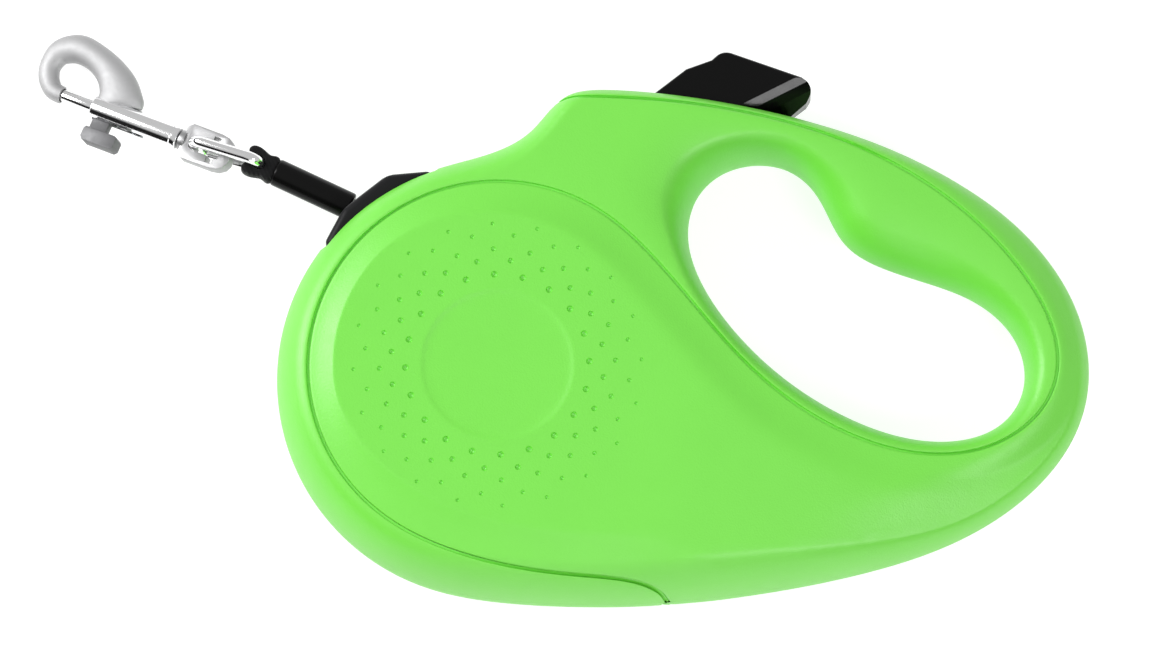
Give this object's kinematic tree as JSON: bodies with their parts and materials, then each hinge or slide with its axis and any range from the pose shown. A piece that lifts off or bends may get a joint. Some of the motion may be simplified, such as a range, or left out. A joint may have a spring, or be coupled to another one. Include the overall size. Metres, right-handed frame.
{
  "type": "retractable dog leash",
  "caption": "Retractable tape leash: looped-handle housing with a spring-driven spool, brake button, tape outlet and a swivelling trigger snap hook on a short link.",
  "frame": {"origin": "on the spool axis, on the housing's lower face", "axes": "+Z along the spool axis, +X along the looped handle to its far end, +Y to the side with the brake button"},
  "size_m": [0.227, 0.1281, 0.034],
  "materials": {
    "case_green": "fine soft-touch texture",
    "black_plastic": "satin",
    "button_black": "glossy",
    "sleeve_black": "smooth heat-shrunk sleeve",
    "inner_white": "moulded acetal",
    "inner_grey": "moulded nylon",
    "tape_black": "woven polyester tape",
    "steel": "zinc plated",
    "spring_steel": "blued strip",
    "bronze": "sintered bush",
    "hook_chrome": "bright plated zinc casting"
  },
  "bodies": {
    "housing": {"frame_lower": "case_green", "frame_upper": "case_green", "cover_lower": "case_green", "cover_upper": "case_green", "case_screws": "steel", "tape_outlet": "black_plastic", "spool_axle": "steel", "axle_clip": "spring_steel", "button_guide": "inner_grey", "power_spring": "spring_steel", "tape_run": "tape_black"},
    "spool": {"spool_drum": "inner_white", "spool_bush": "bronze", "ratchet_ring": "inner_grey", "spring_cover": "inner_grey", "tape_anchor": "steel", "wound_tape": "tape_black"},
    "brake": {"brake_button": "button_black", "brake_plunger": "inner_grey", "button_spring": "spring_steel"},
    "leash_end": {"tape_sleeve": "sleeve_black", "leash_loop": "tape_black"},
    "link": {"snap_link": "hook_chrome"},
    "swivel": {"swivel_head": "hook_chrome"},
    "hook": {"snap_hook_body": "hook_chrome", "bolt_spring": "spring_steel"},
    "bolt": {"snap_bolt": "hook_chrome", "bolt_lug": "hook_chrome"}
  },
  "joints": [
    {"name": "spool_spin", "type": "hinge", "parent": "housing", "child": "spool", "pos_m": [0, 0, 0.017], "axis": [0, 0, 1], "range_deg": [0, 10440], "stiffness_Nm_per_rad": 0.0002, "springref_deg": -2291.83, "deforming": ["power_spring"]},
    {"name": "brake_press", "type": "slide", "parent": "housing", "child": "brake", "axis": [-0.8, -0.6, 0], "range_m": [0, 0.005], "stiffness_N_per_m": 400, "springref_m": -0.002, "deforming": ["button_spring"]},
    {"name": "leash_payout", "type": "slide", "parent": "housing", "child": "leash_end", "axis": [-0.9026, 0.4305, 0], "range_m": [0, 5], "deforming": ["tape_run"]},
    {"name": "link_swing", "type": "hinge", "parent": "leash_end", "child": "link", "pos_m": [-0.05116, 0.04757, 0.017], "axis": [0.2519, -0.0942, -0.9632], "range_deg": [-45, 45]},
    {"name": "eye_swing", "type": "hinge", "parent": "link", "child": "swivel", "pos_m": [-0.06505, 0.05277, 0.01286], "axis": [0.2519, -0.0942, -0.9632], "range_deg": [-35, 35]},
    {"name": "hook_swivel", "type": "hinge", "parent": "swivel", "child": "hook", "pos_m": [-0.06909, 0.05458, 0.01162], "axis": [-0.8791, 0.3939, -0.2684], "continuous": true},
    {"name": "bolt_slide", "type": "slide", "parent": "hook", "child": "bolt", "axis": [0.8791, -0.3939, 0.2684], "range_m": [0, 0.008], "stiffness_N_per_m": 300, "springref_m": -0.003, "deforming": ["bolt_spring"]}
  ],
  "couplings": [
    {"joint": "leash_payout", "follows": "spool_spin", "m_per_rad": 0.027441}
  ]
}
